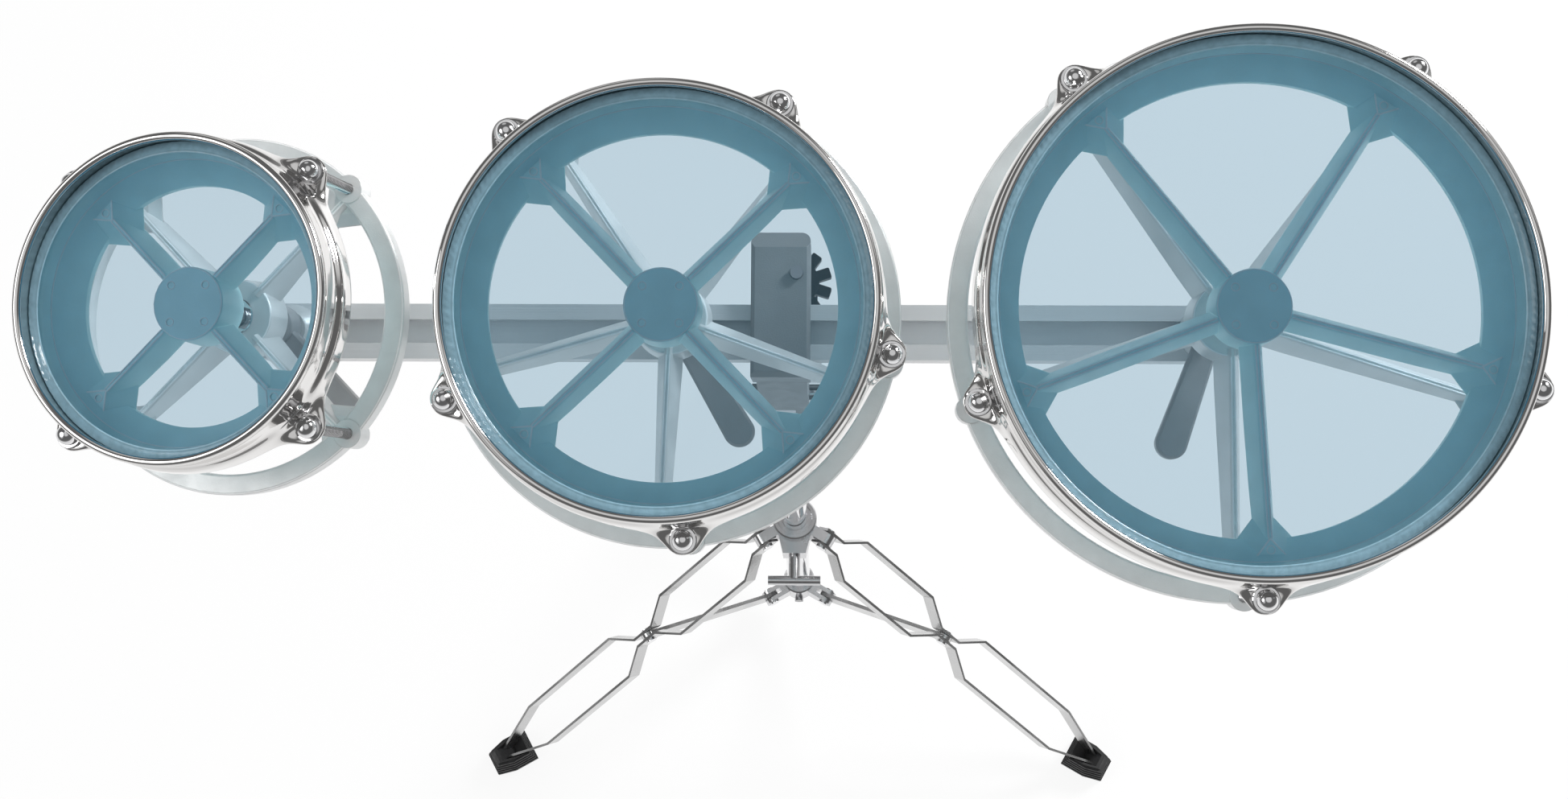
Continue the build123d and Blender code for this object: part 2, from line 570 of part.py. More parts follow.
def make_legs():
    bars, pins, link = leg(), leg_rivets(), brace()
    shoe = rubber_foot() - leg_place() * strip_recess()
    for side, azimuth in LEG_AZIMUTH.items():
        spot = turn_about_z(azimuth)
        put(f"{side}_leg_strips", spot * bars)
        put(f"{side}_leg_rivets", spot * pins)
        put(f"{side}_brace", spot * link)
        put(f"{side}_foot", spot * shoe)


def make_all():
    for name, drum in DRUMS.items():
        make_drum(name, drum)
    for piece in (rail, rail_clamp, star_knob, tilt_wing_bolt, tilter_knuckle, upper_tube, lower_tube, height_clamp,
                  height_wing_bolt, leg_bracket, bracket_t_bolt, lower_hub, hub_rivets, hub_screw):
        put(piece.__name__, piece())
    make_legs()


make_all()
box = Compound([shape for shape in made.values()]).bounding_box()
SHIFT = Vector(-(box.min.X + box.max.X) / 2, -(box.min.Y + box.max.Y) / 2, -box.min.Z)
for node, shape in made.items():
    export_step(Pos(SHIFT) * shape, f"parts/{node}.step")
print("nodes", len(made), "size", box.size, "shift", SHIFT)
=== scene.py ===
# %% [markdown]
# # Dressing a set of three shell-less drums
# The set is three drums that have heads and hoops but no shells. They stand on a slotted rail,
# and the rail tilts on top of a folding tripod. The measured model arrives as a fixed frame, so
# this lesson only adds what a measured model lacks: finishes, threads and small fastenings.

# %% Load the measured model
import json
from math import atan2, ceil, cos, radians, sin, tau

import bmesh
import bpy
from mathutils import Matrix, Vector


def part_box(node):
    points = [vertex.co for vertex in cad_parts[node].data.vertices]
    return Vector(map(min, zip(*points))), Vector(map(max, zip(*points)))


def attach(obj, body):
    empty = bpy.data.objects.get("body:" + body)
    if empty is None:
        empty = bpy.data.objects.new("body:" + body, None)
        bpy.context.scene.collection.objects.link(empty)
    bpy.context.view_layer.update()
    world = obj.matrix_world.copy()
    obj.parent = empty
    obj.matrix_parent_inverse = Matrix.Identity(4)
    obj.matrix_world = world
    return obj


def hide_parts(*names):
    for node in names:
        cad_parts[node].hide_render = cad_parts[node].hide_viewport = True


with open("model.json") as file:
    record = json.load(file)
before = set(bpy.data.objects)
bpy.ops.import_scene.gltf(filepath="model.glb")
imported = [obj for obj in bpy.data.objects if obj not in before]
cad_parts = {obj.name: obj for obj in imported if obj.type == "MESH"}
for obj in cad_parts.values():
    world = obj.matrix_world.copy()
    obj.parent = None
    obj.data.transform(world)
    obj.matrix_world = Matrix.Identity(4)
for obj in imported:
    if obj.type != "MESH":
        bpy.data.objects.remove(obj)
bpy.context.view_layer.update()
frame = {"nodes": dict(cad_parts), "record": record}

nodes = frame["nodes"]

# %% [markdown]
# ## The camera
# The photograph looks down on the heads from about 70 degrees, with a slight turn to the left and
# a slight roll. A camera is a place and two directions, so we work out where it looks, which way
# is right in the picture, and give those directions to the camera as the columns of its matrix.
# The place is measured from the foot of the column, which the frame can tell us.

# %% Camera at the photograph's viewing angle
PHOTO_WIDTH = 1948
FOCAL_LENGTH_PX = 2138.1
CAMERA_FROM_COLUMN = Vector((0.02824, -0.34651, 1.49885))
LOOKS_DOWN = radians(70.42)
TURNED_LEFT = radians(4.855)
ROLLED = radians(4.339)
SENSOR_WIDTH = 36.0


def column_foot():
    low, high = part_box("lower_tube")
    return Vector(((low.x + high.x) / 2, (low.y + high.y) / 2, 0.0))


def add_camera():
    flat = Vector((-sin(TURNED_LEFT), cos(TURNED_LEFT), 0.0))
    forward = cos(LOOKS_DOWN) * flat - Vector((0.0, 0.0, sin(LOOKS_DOWN)))
    level = forward.cross(Vector((0, 0, 1))).normalized()
    above = level.cross(forward)
    right = cos(ROLLED) * level - sin(ROLLED) * above
    up = sin(ROLLED) * level + cos(ROLLED) * above
    data = bpy.data.cameras.new("photo_camera")
    data.sensor_width = SENSOR_WIDTH
    data.lens = FOCAL_LENGTH_PX / PHOTO_WIDTH * SENSOR_WIDTH
    data.clip_end = 20.0
    camera = bpy.data.objects.new("photo_camera", data)
    bpy.context.scene.collection.objects.link(camera)
    turn = Matrix((right, up, -forward)).transposed()
    camera.matrix_world = Matrix.Translation(column_foot() + CAMERA_FROM_COLUMN) @ turn.to_4x4()
    bpy.context.scene.camera = camera
    print("camera lens", round(data.lens, 2), "mm")


add_camera()

# %% [markdown]
# ## Floor, sky and lamps
# Chrome shows what stands around it, so the surroundings matter more than the lamps. What the
# plated parts mirror is a studio: a floor that is white round the stand and dims further out, dark
# walls, and four soft boxes that draw bright streaks on the flanges and lips. Rays that only light
# a surface see one even sky instead, so colours come out as written.

# %% Studio
FLOOR_SIZE = 14.0
FLOOR_PAINT = (0.93, 0.93, 0.93, 1.0)
FLOOR_GLOW = 0.88
FLOOR_DIMS = (0.3, 1.1)         # metres from the middle between which the mirrored floor gets darker
SKY_LIGHT = 0.74
HORIZON_TONE = 0.3
WALL_TONE = 0.16
WALL_STARTS, WALL_FULL = 0.0, 0.22
# Direction of each box, the two cosines between which its edge fades, and its brightness
SOFT_BOXES = (
    ((0.05, -0.12, 1.0), 0.86, 0.955, 0.66), ((-0.8, -0.5, 0.75), 0.95, 0.985, 0.6),
    ((0.75, 0.45, 0.6), 0.93, 0.975, 0.6), ((-0.3, 0.9, 0.55), 0.95, 0.985, 0.5),
)
# Place, width and power of each lamp
LAMPS = {
    "lamp_left": ((-2.2, -0.6, 2.6), 1.6, 14.0),
    "lamp_right": ((1.9, 1.3, 2.0), 0.8, 66.0),
}
LAMPS_AIM_AT = Vector((0, 0, 0.6))


def node_tree_of(block):
    block.use_nodes = True
    block.node_tree.nodes.clear()
    return block.node_tree.nodes, block.node_tree.links


def math_node(tree, operation, first, second):
    node = tree.nodes.new("ShaderNodeMath")
    node.operation = operation
    for socket, value in zip(node.inputs, (first, second)):
        if isinstance(value, (int, float)):
            socket.default_value = value
        else:
            tree.links.new(value, socket)
    return node.outputs[0]


def ramp_between(tree, value, starts, ends, low, high):
    node = tree.nodes.new("ShaderNodeMapRange")
    node.interpolation_type = "SMOOTHSTEP"
    for socket, number in (("From Min", starts), ("From Max", ends), ("To Min", low), ("To Max", high)):
        node.inputs[socket].default_value = number
    tree.links.new(value, node.inputs["Value"])
    return node.outputs["Result"]


def mirrored_room(tree):
    """Brightness of the studio in each direction: horizon, walls and soft boxes."""
    where = tree.nodes.new("ShaderNodeTexCoord")
    split = tree.nodes.new("ShaderNodeSeparateXYZ")
    tree.links.new(where.outputs["Generated"], split.inputs[0])
    tone = ramp_between(tree, split.outputs["Z"], WALL_STARTS, WALL_FULL, HORIZON_TONE, WALL_TONE)
    for direction, starts, ends, glow in SOFT_BOXES:
        facing = tree.nodes.new("ShaderNodeVectorMath")
        facing.operation = "DOT_PRODUCT"
        tree.links.new(where.outputs["Generated"], facing.inputs[0])
        facing.inputs[1].default_value = Vector(direction).normalized()
        box_light = ramp_between(tree, facing.outputs["Value"], starts, ends, 0.0, glow)
        tone = math_node(tree, "ADD", tone, box_light)
    return tone


def build_sky():
    world = bpy.data.worlds.new("studio")
    bpy.context.scene.world = world
    n, links = node_tree_of(world)
    tree = world.node_tree
    out = n.new("ShaderNodeOutputWorld")
    seen, mirrored, even = (n.new("ShaderNodeBackground") for _ in range(3))
    seen.inputs["Strength"].default_value = 1.0
    even.inputs["Strength"].default_value = SKY_LIGHT
    links.new(mirrored_room(tree), mirrored.inputs["Strength"])
    path = n.new("ShaderNodeLightPath")
    clear = math_node(tree, "MAXIMUM", path.outputs["Is Camera Ray"], path.outputs["Is Transmission Ray"])
    first, second = (n.new("ShaderNodeMixShader") for _ in range(2))
    links.new(path.outputs["Is Glossy Ray"], first.inputs["Fac"])
    links.new(even.outputs[0], first.inputs[1])
    links.new(mirrored.outputs[0], first.inputs[2])
    links.new(clear, second.inputs["Fac"])
    links.new(first.outputs[0], second.inputs[1])
    links.new(seen.outputs[0], second.inputs[2])
    links.new(second.outputs[0], out.inputs["Surface"])


def build_floor():
    mesh = bpy.data.meshes.new("floor")
    bm = bmesh.new()
    bmesh.ops.create_grid(bm, x_segments=1, y_segments=1, size=FLOOR_SIZE / 2)
    bm.to_mesh(mesh)
    bm.free()
    floor = bpy.data.objects.new("floor", mesh)
    bpy.context.scene.collection.objects.link(floor)
    mat = bpy.data.materials.new("pale_floor")
    n, links = node_tree_of(mat)
    tree = mat.node_tree
    out = n.new("ShaderNodeOutputMaterial")
    paint = n.new("ShaderNodeBsdfDiffuse")
    paint.inputs["Color"].default_value = FLOOR_PAINT
    glow = n.new("ShaderNodeEmission")
    glow.inputs["Strength"].default_value = 1.0
    path = n.new("ShaderNodeLightPath")
    where = n.new("ShaderNodeTexCoord")
    distance = n.new("ShaderNodeVectorMath")
    distance.operation = "LENGTH"
    links.new(where.outputs["Object"], distance.inputs[0])
    tone = ramp_between(tree, distance.outputs["Value"], *FLOOR_DIMS, FLOOR_GLOW, HORIZON_TONE)
    mirrored = math_node(tree, "MULTIPLY", path.outputs["Is Glossy Ray"], tone)
    seen = math_node(tree, "MULTIPLY", path.outputs["Is Camera Ray"], FLOOR_GLOW)
    share = math_node(tree, "MAXIMUM", seen, mirrored)
    mix = n.new("ShaderNodeMixShader")
    links.new(share, mix.inputs["Fac"])
    links.new(paint.outputs[0], mix.inputs[1])
    links.new(glow.outputs[0], mix.inputs[2])
    links.new(mix.outputs[0], out.inputs["Surface"])
    mesh.materials.append(mat)


def build_lamps():
    for name, (place, size, power) in LAMPS.items():
        data = bpy.data.lights.new(name, "AREA")
        data.shape = "DISK"
        data.size = size
        data.energy = power
        lamp = bpy.data.objects.new(name, data)
        bpy.context.scene.collection.objects.link(lamp)
        lamp.location = place
        aim = LAMPS_AIM_AT - Vector(place)
        lamp.rotation_euler = aim.to_track_quat("-Z", "Y").to_euler()


bpy.context.scene.view_settings.view_transform = "Standard"
build_sky()
build_floor()
build_lamps()

# %% [markdown]
# ## Shared effects
# Several finishes need the same small irregularities. Each effect is built once as a node group
# with named inputs, and every material places it with its own values. A group only gives out
# values, and the shader stays in the material.

# %% Helpers for node groups


def new_group(name, inputs, outputs):
    group = bpy.data.node_groups.new(name, "ShaderNodeTree")
    for socket, value in inputs.items():
        made = group.interface.new_socket(name=socket, in_out="INPUT", socket_type="NodeSocketFloat")
        made.default_value = value
    for socket, kind in outputs.items():
        group.interface.new_socket(name=socket, in_out="OUTPUT", socket_type=kind)
    entry = group.nodes.new("NodeGroupInput")
    leave = group.nodes.new("NodeGroupOutput")
    return group, entry, leave


def noise_node(tree, vector, scale, detail=3.0):
    node = tree.nodes.new("ShaderNodeTexNoise")
    node.inputs["Detail"].default_value = detail
    tree.links.new(vector, node.inputs["Vector"])
    if isinstance(scale, (int, float)):
        node.inputs["Scale"].default_value = scale
    else:
        tree.links.new(scale, node.inputs["Scale"])
    return node.outputs["Fac"]


# %% Effect: polish that varies from place to place


def build_uneven_polish():
    group, entry, leave = new_group("uneven_polish", {"Scale": 40.0, "Low": 0.05, "High": 0.12},
                                    {"Roughness": "NodeSocketFloat"})
    where = group.nodes.new("ShaderNodeTexCoord")
    cloud = noise_node(group, where.outputs["Object"], entry.outputs["Scale"], 5.0)
    spread = group.nodes.new("ShaderNodeMapRange")
    spread.inputs["From Min"].default_value = 0.35
    spread.inputs["From Max"].default_value = 0.65
    group.links.new(cloud, spread.inputs["Value"])
    group.links.new(entry.outputs["Low"], spread.inputs["To Min"])
    group.links.new(entry.outputs["High"], spread.inputs["To Max"])
    group.links.new(spread.outputs["Result"], leave.inputs["Roughness"])
    return group


uneven_polish = build_uneven_polish()

# %% Effect: fine grain of a casting


def build_cast_grain():
    group, entry, leave = new_group("cast_grain", {"Scale": 900.0, "Lumps": 60.0, "Tone": 0.1},
                                    {"Height": "NodeSocketFloat", "Tone": "NodeSocketFloat"})
    where = group.nodes.new("ShaderNodeTexCoord")
    fine = noise_node(group, where.outputs["Object"], entry.outputs["Scale"], 2.0)
    broad = noise_node(group, where.outputs["Object"], entry.outputs["Lumps"], 3.0)
    height = math_node(group, "ADD", fine, math_node(group, "MULTIPLY", broad, 1.5))
    lighter = math_node(group, "SUBTRACT", broad, 0.5)
    tone = math_node(group, "MULTIPLY", lighter, entry.outputs["Tone"])
    group.links.new(height, leave.inputs["Height"])
    group.links.new(math_node(group, "ADD", tone, 1.0), leave.inputs["Tone"])
    return group


cast_grain = build_cast_grain()

# %% Effect: lines left by drawing or brushing


def build_drawn_lines():
    group, entry, leave = new_group("drawn_lines", {"Along X": 2.0, "Across": 500.0},
                                    {"Lines": "NodeSocketFloat"})
    where = group.nodes.new("ShaderNodeTexCoord")
    stretch = group.nodes.new("ShaderNodeCombineXYZ")
    group.links.new(entry.outputs["Along X"], stretch.inputs["X"])
    group.links.new(entry.outputs["Across"], stretch.inputs["Y"])
    group.links.new(entry.outputs["Across"], stretch.inputs["Z"])
    scaled = group.nodes.new("ShaderNodeVectorMath")
    scaled.operation = "MULTIPLY"
    group.links.new(where.outputs["Object"], scaled.inputs[0])
    group.links.new(stretch.outputs["Vector"], scaled.inputs[1])
    group.links.new(noise_node(group, scaled.outputs["Vector"], 1.0, 4.0), leave.inputs["Lines"])
    return group


drawn_lines = build_drawn_lines()

# %% Effect: rounded and rubbed edges
EDGE_AGREES = (0.99, 0.9)       # cosine between the rounded and the true normal, off and on an edge


def build_rubbed_edges():
    group, entry, leave = new_group("rubbed_edges", {"Radius": 0.0005},
                                    {"Mask": "NodeSocketFloat", "Normal": "NodeSocketVector"})
    rounded = group.nodes.new("ShaderNodeBevel")
    rounded.samples = 6
    surface = group.nodes.new("ShaderNodeNewGeometry")
    agree = group.nodes.new("ShaderNodeVectorMath")
    agree.operation = "DOT_PRODUCT"
    group.links.new(entry.outputs["Radius"], rounded.inputs["Radius"])
    group.links.new(rounded.outputs["Normal"], agree.inputs[0])
    group.links.new(surface.outputs["Normal"], agree.inputs[1])
    rubbed = ramp_between(group, agree.outputs["Value"], *EDGE_AGREES, 0.0, 1.0)
    group.links.new(rubbed, leave.inputs["Mask"])
    group.links.new(rounded.outputs["Normal"], leave.inputs["Normal"])
    return group


rubbed_edges = build_rubbed_edges()

# %% Effect: a band of the rail's depth or width


def build_rail_band():
    """One inside a slab that lies square to a direction, and zero outside it."""
    group, entry, leave = new_group("rail_band", {"Y": 0.0, "Z": 1.0, "Low": 0.0, "High": 1.0},
                                    {"Mask": "NodeSocketFloat"})
    where = group.nodes.new("ShaderNodeTexCoord")
    split = group.nodes.new("ShaderNodeSeparateXYZ")
    group.links.new(where.outputs["Object"], split.inputs[0])
    back = math_node(group, "MULTIPLY", split.outputs["Y"], entry.outputs["Y"])
    up = math_node(group, "MULTIPLY", split.outputs["Z"], entry.outputs["Z"])
    depth = math_node(group, "ADD", back, up)
    above = math_node(group, "GREATER_THAN", depth, entry.outputs["Low"])
    below = math_node(group, "LESS_THAN", depth, entry.outputs["High"])
    group.links.new(math_node(group, "MULTIPLY", above, below), leave.inputs["Mask"])
    return group


rail_band = build_rail_band()
RAIL_TILT = radians(15)
rail_low, rail_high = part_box("rail")
rail_middle = (rail_low + rail_high) / 2
RAIL_NORMAL = Vector((0, -sin(RAIL_TILT), cos(RAIL_TILT)))
RAIL_ACROSS = Vector((0, cos(RAIL_TILT), sin(RAIL_TILT)))

# %% [markdown]
# ## Finishes
# Each finish is one material. Values that are the same all over the surface go straight onto the
# shader, and the groups drive only what changes: the polish, the tone and a shallow relief.

# %% Helpers for materials


class Finish:
    """A material with one shader, and short ways to place a group and a relief in it."""

    def __init__(self, name, color, metallic=0.0, roughness=0.5):
        self.material = bpy.data.materials.new(name)
        n, self.links = node_tree_of(self.material)
        self.tree = self.material.node_tree
        self.out = n.new("ShaderNodeOutputMaterial")
        self.shader = n.new("ShaderNodeBsdfPrincipled")
        self.shader.inputs["Base Color"].default_value = (*color, 1.0)
        self.shader.inputs["Metallic"].default_value = metallic
        self.shader.inputs["Roughness"].default_value = roughness
        self.links.new(self.shader.outputs[0], self.out.inputs["Surface"])

    def place(self, group, **values):
        node = self.tree.nodes.new("ShaderNodeGroup")
        node.node_tree = group
        for socket, value in values.items():
            node.inputs[socket.replace("_", " ")].default_value = value
        return node

    def polish(self, low, high, scale=40.0):
        node = self.place(uneven_polish, Scale=scale, Low=low, High=high)
        self.links.new(node.outputs["Roughness"], self.shader.inputs["Roughness"])

    def band(self, direction, low, high):
        """Mask of a slab square to a direction, in metres from the middle of the rail."""
        middle = direction.dot(rail_middle)
        node = self.place(rail_band, Y=direction.y, Z=direction.z, Low=middle + low, High=middle + high)
        return node.outputs["Mask"]

    def relief(self, height, depth, normal=None):
        bump = self.tree.nodes.new("ShaderNodeBump")
        bump.inputs["Distance"].default_value = depth
        self.links.new(height, bump.inputs["Height"])
        if normal:
            self.links.new(normal, bump.inputs["Normal"])
        self.links.new(bump.outputs["Normal"], self.shader.inputs["Normal"])

    def tone(self, color, value):
        node = self.tree.nodes.new("ShaderNodeVectorMath")
        node.operation = "SCALE"
        node.inputs[0].default_value = color
        self.links.new(value, node.inputs["Scale"])
        self.links.new(node.outputs["Vector"], self.shader.inputs["Base Color"])


# %% Chrome plate on pressed steel, tubes and fittings


def make_chrome(name, color, rough, ripple):
    finish = Finish(name, color, metallic=1.0)
    finish.polish(rough, 2.5 * rough, scale=30.0)
    where = finish.tree.nodes.new("ShaderNodeTexCoord")
    finish.relief(noise_node(finish.tree, where.outputs["Object"], 55.0, 2.0), ripple)
    return finish.material


# %% Satin silver casting of the frames


def make_casting(name, color, metallic, low, high, depth, edge=0.0006):
    finish = Finish(name, color, metallic=metallic)
    finish.polish(low, high, scale=120.0)
    grain = finish.place(cast_grain, Scale=1400.0, Lumps=70.0, Tone=0.25)
    finish.tone(color, grain.outputs["Tone"])
    if not edge:
        finish.relief(grain.outputs["Height"], depth)
        return finish.material
    edges = finish.place(rubbed_edges, Radius=edge)
    finish.relief(grain.outputs["Height"], depth, edges.outputs["Normal"])
    bare = math_node(finish.tree, "MULTIPLY", edges.outputs["Mask"], 0.7)
    bare = math_node(finish.tree, "MAXIMUM", bare, metallic)
    finish.links.new(bare, finish.shader.inputs["Metallic"])
    return finish.material


# %% Drawn aluminium of the rail
RAIL_TONE = (0.70, 0.71, 0.72)
CHANNEL_DEPTH = (-0.0070, 0.0059)
CHANNEL_WIDTH = (-0.01305, 0.01305)
# How much lighter the painted light makes the inside of the channel
CHANNEL_PAINTED_LIGHT = 0.36


def make_rail_alloy():
    """Drawn alloy, painted lighter inside the channel to make up for the shade in the slot: painted light."""
    finish = Finish("rail_alloy", RAIL_TONE, metallic=0.1)
    lines = finish.place(drawn_lines, Along_X=3.0, Across=900.0)
    finish.relief(lines.outputs["Lines"], 0.00012)
    spread = finish.tree.nodes.new("ShaderNodeMapRange")
    spread.inputs["To Min"].default_value = 0.28
    spread.inputs["To Max"].default_value = 0.5
    finish.links.new(lines.outputs["Lines"], spread.inputs["Value"])
    finish.links.new(spread.outputs["Result"], finish.shader.inputs["Roughness"])
    # Painted light: the inside of the channel is coloured lighter, standing in for light that the shaded slot
    # lacks.
    inside = math_node(finish.tree, "MULTIPLY", finish.band(RAIL_NORMAL, *CHANNEL_DEPTH),
                       finish.band(RAIL_ACROSS, *CHANNEL_WIDTH))
    lighter = math_node(finish.tree, "MULTIPLY", inside, CHANNEL_PAINTED_LIGHT)
    finish.tone(RAIL_TONE, math_node(finish.tree, "ADD", lighter, 1.0))
    return finish.material


# %% Clear tinted head film
FILM_TINT = (0.762, 0.838, 0.883, 1.0)
FILM_TINT_OF_LIGHT = (0.93, 0.955, 0.985, 1.0)
FILM_IOR = 1.45
FILM_SHEEN = 0.03


def make_film():
    """See-through film. Light on its way in is tinted less, or the frames would be tinted twice."""
    finish = Finish("tinted_film", (0.12, 0.36, 0.5), roughness=0.08)
    finish.polish(0.04, 0.12, scale=25.0)
    n, links = finish.tree.nodes, finish.links
    clear = n.new("ShaderNodeBsdfTransparent")
    path = n.new("ShaderNodeLightPath")
    inward = math_node(finish.tree, "MAXIMUM", path.outputs["Is Shadow Ray"],
                       path.outputs["Is Diffuse Ray"])
    tint = n.new("ShaderNodeMix")
    tint.data_type = "RGBA"
    tint.inputs[6].default_value = FILM_TINT
    tint.inputs[7].default_value = FILM_TINT_OF_LIGHT
    links.new(inward, tint.inputs[0])
    links.new(tint.outputs[2], clear.inputs["Color"])
    gloss = n.new("ShaderNodeFresnel")
    gloss.inputs["IOR"].default_value = FILM_IOR
    share = math_node(finish.tree, "ADD", gloss.outputs[0], FILM_SHEEN)
    mix = n.new("ShaderNodeMixShader")
    links.new(share, mix.inputs["Fac"])
    links.new(clear.outputs[0], mix.inputs[1])
    links.new(finish.shader.outputs[0], mix.inputs[2])
    links.new(mix.outputs[0], finish.out.inputs["Surface"])
    return finish.material


# %% Crimped edge of the film
CRIMP_TONE = (0.26, 0.44, 0.54)


def make_crimped_film():
    finish = Finish("crimped_film", CRIMP_TONE, roughness=0.18)
    where = finish.tree.nodes.new("ShaderNodeTexCoord")
    streaks = noise_node(finish.tree, where.outputs["Object"], 260.0, 3.0)
    cloudy = math_node(finish.tree, "MULTIPLY", streaks, 0.5)
    finish.tone(CRIMP_TONE, math_node(finish.tree, "ADD", cloudy, 0.75))
    finish.relief(streaks, 0.0002)
    return finish.material


# %% Rubber and moulded plastic


def make_grained(name, color, low, high, depth, stud_tone=0.0):
    """Moulded black surface. The end of the knob's stud takes the tone of the clamp round it."""
    finish = Finish(name, color)
    finish.polish(low, high, scale=200.0)
    grain = finish.place(cast_grain, Scale=2200.0, Lumps=150.0, Tone=0.5)
    finish.relief(grain.outputs["Height"], depth)
    tone = grain.outputs["Tone"]
    if stud_tone:
        stud = math_node(finish.tree, "MULTIPLY", finish.band(RAIL_NORMAL, 0.0, 0.1), stud_tone)
        tone = math_node(finish.tree, "ADD", tone, stud)
    finish.tone(color, tone)
    return finish.material


pressed_chrome = make_chrome("pressed_chrome", (0.80, 0.79, 0.78), 0.035, 0.00010)
plated_steel = make_chrome("plated_steel", (0.80, 0.80, 0.81), 0.04, 0.00003)
satin_plate = make_chrome("satin_plate", (0.62, 0.62, 0.63), 0.12, 0.00003)
leg_steel = make_chrome("leg_steel", (0.60, 0.60, 0.60), 0.14, 0.00002)
cast_silver = make_casting("cast_silver", (0.78, 0.79, 0.79), 0.3, 0.28, 0.4, 0.00006)
# Painted light: the upper frames are the same satin alloy as the lower ones, coloured near white and cyan to
# stand in for the bright blue light under the film.
silver_with_painted_film_light = make_casting("silver_with_painted_film_light", (0.68, 0.98, 1.0), 0.0, 0.32, 0.44, 0.00006)
# Pure white beads: painted highlights on the edges of the castings.
painted_highlight_white = make_casting("painted_highlight_white", (1.0, 1.0, 1.0), 0.0, 0.25, 0.35, 0.00001, edge=0)
dark_casting = make_casting("dark_casting", (0.30, 0.305, 0.31), 0.15, 0.35, 0.5, 0.00012)
painted_lever = make_casting("painted_lever", (0.33, 0.335, 0.34), 0.1, 0.32, 0.45, 0.00006)
flesh_alloy = make_casting("flesh_alloy", (0.66, 0.67, 0.68), 1.0, 0.25, 0.35, 0.00003)
turned_steel = make_casting("turned_steel", (0.5, 0.5, 0.51), 1.0, 0.2, 0.3, 0.00003)
turned_brass = make_casting("turned_brass", (0.62, 0.47, 0.2), 1.0, 0.2, 0.3, 0.00003)
rail_alloy = make_rail_alloy()
tinted_film = make_film()
crimped_film = make_crimped_film()
black_rubber = make_grained("black_rubber", (0.022, 0.022, 0.023), 0.5, 0.7, 0.00010)
black_plastic = make_grained("black_plastic", (0.03, 0.03, 0.032), 0.35, 0.5, 0.00006, stud_tone=9.0)
print("materials", len(bpy.data.materials))

# %% Put the finishes on the measured nodes
FINISH_BY_ENDING = {
    "_hoop": pressed_chrome, "head_film": tinted_film, "flesh_hoop": flesh_alloy,
    "upper_frame": silver_with_painted_film_light, "lower_frame": cast_silver, "tension_rods": plated_steel,
    "shaft": turned_steel, "thrust_bearing": turned_brass, "clamp_lever": painted_lever,
    "rail_foot": cast_silver, "slide_nut": turned_steel, "leg_strips": leg_steel,
    "leg_rivets": plated_steel, "brace": leg_steel, "_foot": black_rubber, "rail": rail_alloy,
    "rail_clamp": dark_casting, "star_knob": black_plastic, "tilt_wing_bolt": plated_steel,
    "tilter_knuckle": satin_plate, "upper_tube": plated_steel, "lower_tube": plated_steel,
    "height_clamp": satin_plate, "height_wing_bolt": satin_plate, "leg_bracket": satin_plate,
    "bracket_t_bolt": satin_plate, "lower_hub": satin_plate, "hub_rivets": plated_steel,
    "hub_screw": turned_steel,
}


def finish_of(node):
    endings = [e for e in FINISH_BY_ENDING if node.endswith(e)]
    return FINISH_BY_ENDING[max(endings, key=len)]


for name, node in nodes.items():
    node.data.materials.clear()
    node.data.materials.append(finish_of(name))

# %% [markdown]
# ## A bench for each drum
# The drums lean, and the small one leans twice. It is easiest to model every ring and rod upright,
# in millimetres, as on a bench, and to move the finished mesh onto its drum at the end. The record
# of the joints says where each head's centre is and which way its shaft points.

# %% Where each drum stands
MM = 0.001
# Nominal radius, number of lugs and angle of the first lug
DRUMS = {"small": (76.2, 4, 46.3), "medium": (101.6, 5, 60.0), "large": (127.0, 5, 55.5)}
joints = {joint["name"]: joint for joint in frame["record"]["behaviour"]["joints"]}


def drum_place(name):
    turning = joints[f"{name}_tuning_turn"]
    up = Vector(turning["axis"]).normalized()
    turn = Matrix((RAIL_ACROSS.cross(up), RAIL_ACROSS, up)).transposed()
    return Matrix.Translation(turning["pos_m"]) @ turn.to_4x4() @ Matrix.Scale(MM, 4)


# %% Helpers for new pieces
LONG_SPIN = 80
WELD = 1e-3


def add_to(bm, other, place):
    """Put a placed copy of one bmesh into another."""
    copied = other.copy()
    bmesh.ops.transform(copied, matrix=place, verts=copied.verts)
    scratch = bpy.data.meshes.new("scratch")
    copied.to_mesh(scratch)
    copied.free()
    bm.from_mesh(scratch)
    bpy.data.meshes.remove(scratch)


def turned(outline, steps, closed=True):
    """Spin an outline of (radius, height) pairs once round the Z axis.

    A spin of many steps is slow, so a long one makes one eighth and copies it round."""
    parts = 8 if steps > LONG_SPIN else 1
    slice_of_ring = bmesh.new()
    verts = [slice_of_ring.verts.new((radius, 0, height)) for radius, height in outline]
    pairs = list(zip(verts, verts[1:])) + ([(verts[-1], verts[0])] if closed else [])
    edges = [slice_of_ring.edges.new(pair) for pair in pairs]
    bmesh.ops.spin(slice_of_ring, geom=verts + edges, cent=(0, 0, 0), axis=(0, 0, 1),
                   angle=tau / parts, steps=ceil(steps / parts), use_merge=parts == 1)
    bm = bmesh.new()
    for k in range(parts):
        add_to(bm, slice_of_ring, Matrix.Rotation(tau * k / parts, 4, "Z"))
    slice_of_ring.free()
    bmesh.ops.remove_doubles(bm, verts=bm.verts, dist=WELD)
    return bm


def add_piece(name, bm, place, finish, body, replaces=None, crisp=32.0):
    bmesh.ops.transform(bm, matrix=place, verts=bm.verts)
    bmesh.ops.recalc_face_normals(bm, faces=bm.faces)
    mesh = bpy.data.meshes.new(name)
    bm.to_mesh(mesh)
    bm.free()
    mesh.shade_smooth()
    mesh.set_sharp_from_angle(angle=radians(crisp))
    mesh.materials.append(finish)
    piece = bpy.data.objects.new(name, mesh)
    bpy.context.scene.collection.objects.link(piece)
    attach(piece, body)
    if replaces:
        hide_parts(replaces)
    print(name, "faces", len(mesh.polygons))
    return piece


